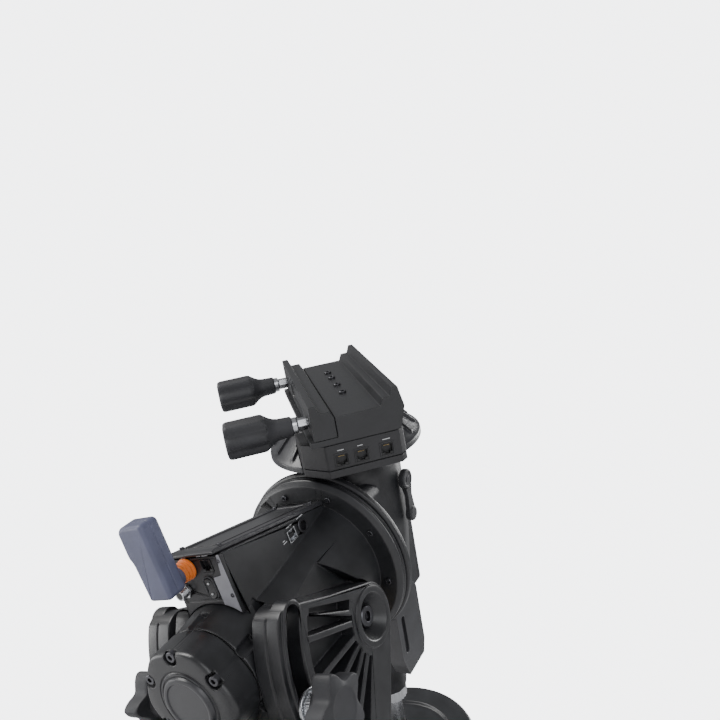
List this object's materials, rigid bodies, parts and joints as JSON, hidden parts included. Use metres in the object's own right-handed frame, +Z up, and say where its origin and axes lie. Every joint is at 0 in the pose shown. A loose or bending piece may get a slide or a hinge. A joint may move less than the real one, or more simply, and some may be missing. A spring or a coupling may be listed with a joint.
{
  "type": "equatorial mount",
  "caption": "German equatorial telescope mount head: tilting polar housing in a fork, declination housing with counterweight bar, and a clamping saddle.",
  "frame": {"origin": "centre of the base's underside, where the head bolts to a tripod or pier", "axes": "+Z up, +Y north towards the celestial pole, +X east"},
  "size_m": [0.2767, 0.593, 0.5906],
  "materials": {
    "black_casting": "cast aluminium with fine textured black powder coat",
    "weight_iron": "cast iron with black hammered enamel",
    "grey_casting": "cast aluminium with charcoal satin paint",
    "lid_grey": "light grey satin paint",
    "black_plastic": "fine textured moulded plastic",
    "knob_plastic": "satin moulded grip plastic",
    "steel": "turned and polished",
    "brass": "machined",
    "aluminium": "satin",
    "rubber_belt": "moulded",
    "module_blue": "satin blue-grey plastic",
    "module_orange": "satin orange plastic",
    "circuit_board": "solder-masked board"
  },
  "bodies": {
    "base": {"base_disc": "black_casting", "azimuth_peg": "steel"},
    "yoke": {"yoke_floor": "black_casting", "fork_arm_left": "black_casting", "fork_arm_right": "black_casting", "pivot_pin_left": "steel", "pivot_pin_right": "steel", "bubble_level": "aluminium"},
    "azimuth_screw_left": {"azimuth_screw_left": "steel"},
    "azimuth_screw_right": {"azimuth_screw_right": "steel"},
    "azimuth_knob_left": {"azimuth_knob_left": "knob_plastic"},
    "azimuth_knob_right": {"azimuth_knob_right": "knob_plastic"},
    "altitude_drive": {"altitude_worm": "steel", "altitude_crank": "black_casting"},
    "polar_housing": {"polar_housing": "black_casting", "polar_end_cover": "black_casting", "hump_lid": "lid_grey", "rear_panel": "black_plastic", "power_connector": "steel", "control_board": "circuit_board", "polar_bearing_front": "steel", "polar_bearing_rear": "steel", "polar_motor": "aluminium", "polar_belt": "rubber_belt", "altitude_sector": "brass"},
    "lock_left": {"lock_knob_left": "knob_plastic", "lock_stud_left": "steel"},
    "lock_right": {"lock_knob_right": "knob_plastic", "lock_stud_right": "steel"},
    "polar_worm": {"polar_worm": "steel"},
    "polar_motor_pulley": {"polar_motor_pulley": "brass"},
    "power_switch": {"power_switch": "black_plastic"},
    "wireless_module": {"module_neck": "module_orange", "wireless_module": "module_blue"},
    "declination_housing": {"declination_housing": "black_casting", "declination_drive_cover": "grey_casting", "declination_bearing_top": "steel", "declination_bearing_bottom": "steel", "declination_motor": "aluminium", "declination_belt": "rubber_belt", "polar_shaft": "steel", "polar_worm_wheel": "brass", "counterweight_bar": "steel", "bar_lock_nut": "aluminium", "bar_end_stop": "knob_plastic"},
    "declination_worm": {"declination_worm": "steel"},
    "declination_motor_pulley": {"declination_motor_pulley": "brass"},
    "declination_clutch": {"declination_clutch_lever": "knob_plastic"},
    "polar_clutch": {"polar_clutch_lever": "knob_plastic"},
    "counterweight": {"counterweight": "weight_iron"},
    "counterweight_knob": {"counterweight_knob": "knob_plastic"},
    "head": {"declination_shaft": "steel", "declination_worm_wheel": "brass", "saddle_disc": "grey_casting", "saddle": "black_casting", "port_box": "black_plastic", "port_box_base": "black_plastic"},
    "saddle_jaw": {"saddle_jaw": "black_casting"},
    "clamp_knob_rear": {"clamp_knob_rear": "knob_plastic"},
    "clamp_knob_front": {"clamp_knob_front": "knob_plastic"}
  },
  "joints": [
    {"name": "azimuth_turn", "type": "hinge", "parent": "base", "child": "yoke", "pos_m": [0, 0, 0], "axis": [0, 0, 1], "range_deg": [-7, 7]},
    {"name": "azimuth_screw_left_travel", "type": "slide", "parent": "yoke", "child": "azimuth_screw_left", "axis": [1, 0, 0], "range_m": [-0.0085, 0.0085]},
    {"name": "azimuth_knob_left_turn", "type": "hinge", "parent": "azimuth_screw_left", "child": "azimuth_knob_left", "pos_m": [-0.09, 0.066, 0.031], "axis": [1, 0, 0], "range_deg": [-1990, 1990]},
    {"name": "azimuth_screw_right_travel", "type": "slide", "parent": "yoke", "child": "azimuth_screw_right", "axis": [1, 0, 0], "range_m": [-0.0085, 0.0085]},
    {"name": "azimuth_knob_right_turn", "type": "hinge", "parent": "azimuth_screw_right", "child": "azimuth_knob_right", "pos_m": [0.09, 0.066, 0.031], "axis": [1, 0, 0], "range_deg": [-1990, 1990]},
    {"name": "latitude_tilt", "type": "hinge", "parent": "yoke", "child": "polar_housing", "pos_m": [0, 0.047, 0.2], "axis": [1, 0, 0], "range_deg": [-35, 27]},
    {"name": "altitude_crank_turn", "type": "hinge", "parent": "yoke", "child": "altitude_drive", "pos_m": [0, -0.06, 0.047], "axis": [0, 1, 0], "range_deg": [-6400, 4900]},
    {"name": "lock_knob_left_turn", "type": "hinge", "parent": "polar_housing", "child": "lock_left", "pos_m": [-0.08, -0.03732, 0.13412], "axis": [-1, 0, 0], "range_deg": [0, 360]},
    {"name": "lock_knob_right_turn", "type": "hinge", "parent": "polar_housing", "child": "lock_right", "pos_m": [0.08, -0.03732, 0.13412], "axis": [1, 0, 0], "range_deg": [0, 360]},
    {"name": "polar_turn", "type": "hinge", "parent": "polar_housing", "child": "declination_housing", "pos_m": [0, 0.02853, 0.22364], "axis": [0, 0.788, 0.6157], "range_deg": [-122.4, 97.6]},
    {"name": "polar_worm_turn", "type": "hinge", "parent": "polar_housing", "child": "polar_worm", "pos_m": [0, 0.02575, 0.28568], "axis": [1, 0, 0], "range_deg": [-22200, 17800]},
    {"name": "polar_motor_turn", "type": "hinge", "parent": "polar_housing", "child": "polar_motor_pulley", "pos_m": [0, -0.02263, 0.25664], "axis": [1, 0, 0], "range_deg": [-33200, 26500]},
    {"name": "declination_turn", "type": "hinge", "parent": "declination_housing", "child": "head", "pos_m": [0, 0.1275, 0.30097], "axis": [0.2147, -0.6013, 0.7696], "range_deg": [-220.7, 139.3]},
    {"name": "declination_worm_turn", "type": "hinge", "parent": "declination_housing", "child": "declination_worm", "pos_m": [0.00322, 0.15363, 0.33997], "axis": [0.9767, 0.1322, -0.1692], "range_deg": [-39900, 25200]},
    {"name": "declination_motor_turn", "type": "hinge", "parent": "declination_housing", "child": "declination_motor_pulley", "pos_m": [-0.01074, 0.19067, 0.28834], "axis": [0.9767, 0.1322, -0.1692], "range_deg": [-59800, 37800]},
    {"name": "declination_clutch_swing", "type": "hinge", "parent": "declination_housing", "child": "declination_clutch", "pos_m": [0.06359, 0.115, 0.33322], "axis": [0.9767, 0.1322, -0.1692], "range_deg": [0, 60]},
    {"name": "polar_clutch_swing", "type": "hinge", "parent": "declination_housing", "child": "polar_clutch", "pos_m": [-0.04384, 0.07524, 0.33213], "axis": [0.9767, 0.1322, -0.1692], "range_deg": [0, 60]},
    {"name": "counterweight_travel", "type": "slide", "parent": "declination_housing", "child": "counterweight", "axis": [0.2147, -0.6013, 0.7696], "range_m": [-0.145, 0.06]},
    {"name": "counterweight_knob_turn", "type": "hinge", "parent": "counterweight", "child": "counterweight_knob", "pos_m": [0.0209, 0.32701, 0.04561], "axis": [0.9767, 0.1322, -0.1692], "range_deg": [0, 720]},
    {"name": "clamp_knob_rear_turn", "type": "hinge", "parent": "saddle_jaw", "child": "clamp_knob_rear", "pos_m": [0.00418, -0.04466, 0.34719], "axis": [-0.7404, -0.6141, -0.2732], "range_deg": [0, 2280]},
    {"name": "clamp_knob_front_turn", "type": "hinge", "parent": "saddle_jaw", "child": "clamp_knob_front", "pos_m": [-0.08848, 0.02972, 0.43116], "axis": [-0.7404, -0.6141, -0.2732], "range_deg": [0, 2280]},
    {"name": "saddle_jaw_travel", "type": "slide", "parent": "head", "child": "saddle_jaw", "axis": [-0.7404, -0.6141, -0.2732], "range_m": [0, 0.009]},
    {"name": "power_switch_rock", "type": "hinge", "parent": "polar_housing", "child": "power_switch", "pos_m": [0, -0.07995, 0.2163], "axis": [1, 0, 0], "range_deg": [-10, 0]},
    {"name": "module_pull", "type": "slide", "parent": "polar_housing", "child": "wireless_module", "axis": [0, -0.788, -0.6157], "range_m": [0, 0.02]}
  ],
  "couplings": [
    {"joint": "azimuth_screw_left_travel", "follows": "azimuth_turn", "m_per_rad": 0.066},
    {"joint": "azimuth_knob_left_turn", "follows": "azimuth_turn", "ratio": 276.46},
    {"joint": "azimuth_screw_right_travel", "follows": "azimuth_turn", "m_per_rad": 0.066},
    {"joint": "azimuth_knob_right_turn", "follows": "azimuth_turn", "ratio": 276.46},
    {"joint": "altitude_crank_turn", "follows": "latitude_tilt", "ratio": 180},
    {"joint": "polar_worm_turn", "follows": "polar_turn", "ratio": 180},
    {"joint": "polar_motor_turn", "follows": "polar_turn", "ratio": 270},
    {"joint": "declination_worm_turn", "follows": "declination_turn", "ratio": 180},
    {"joint": "declination_motor_turn", "follows": "declination_turn", "ratio": 270},
    {"joint": "clamp_knob_rear_turn", "follows": "saddle_jaw_travel", "rad_per_m": 4188.8},
    {"joint": "clamp_knob_front_turn", "follows": "saddle_jaw_travel", "rad_per_m": 4188.8}
  ]
}
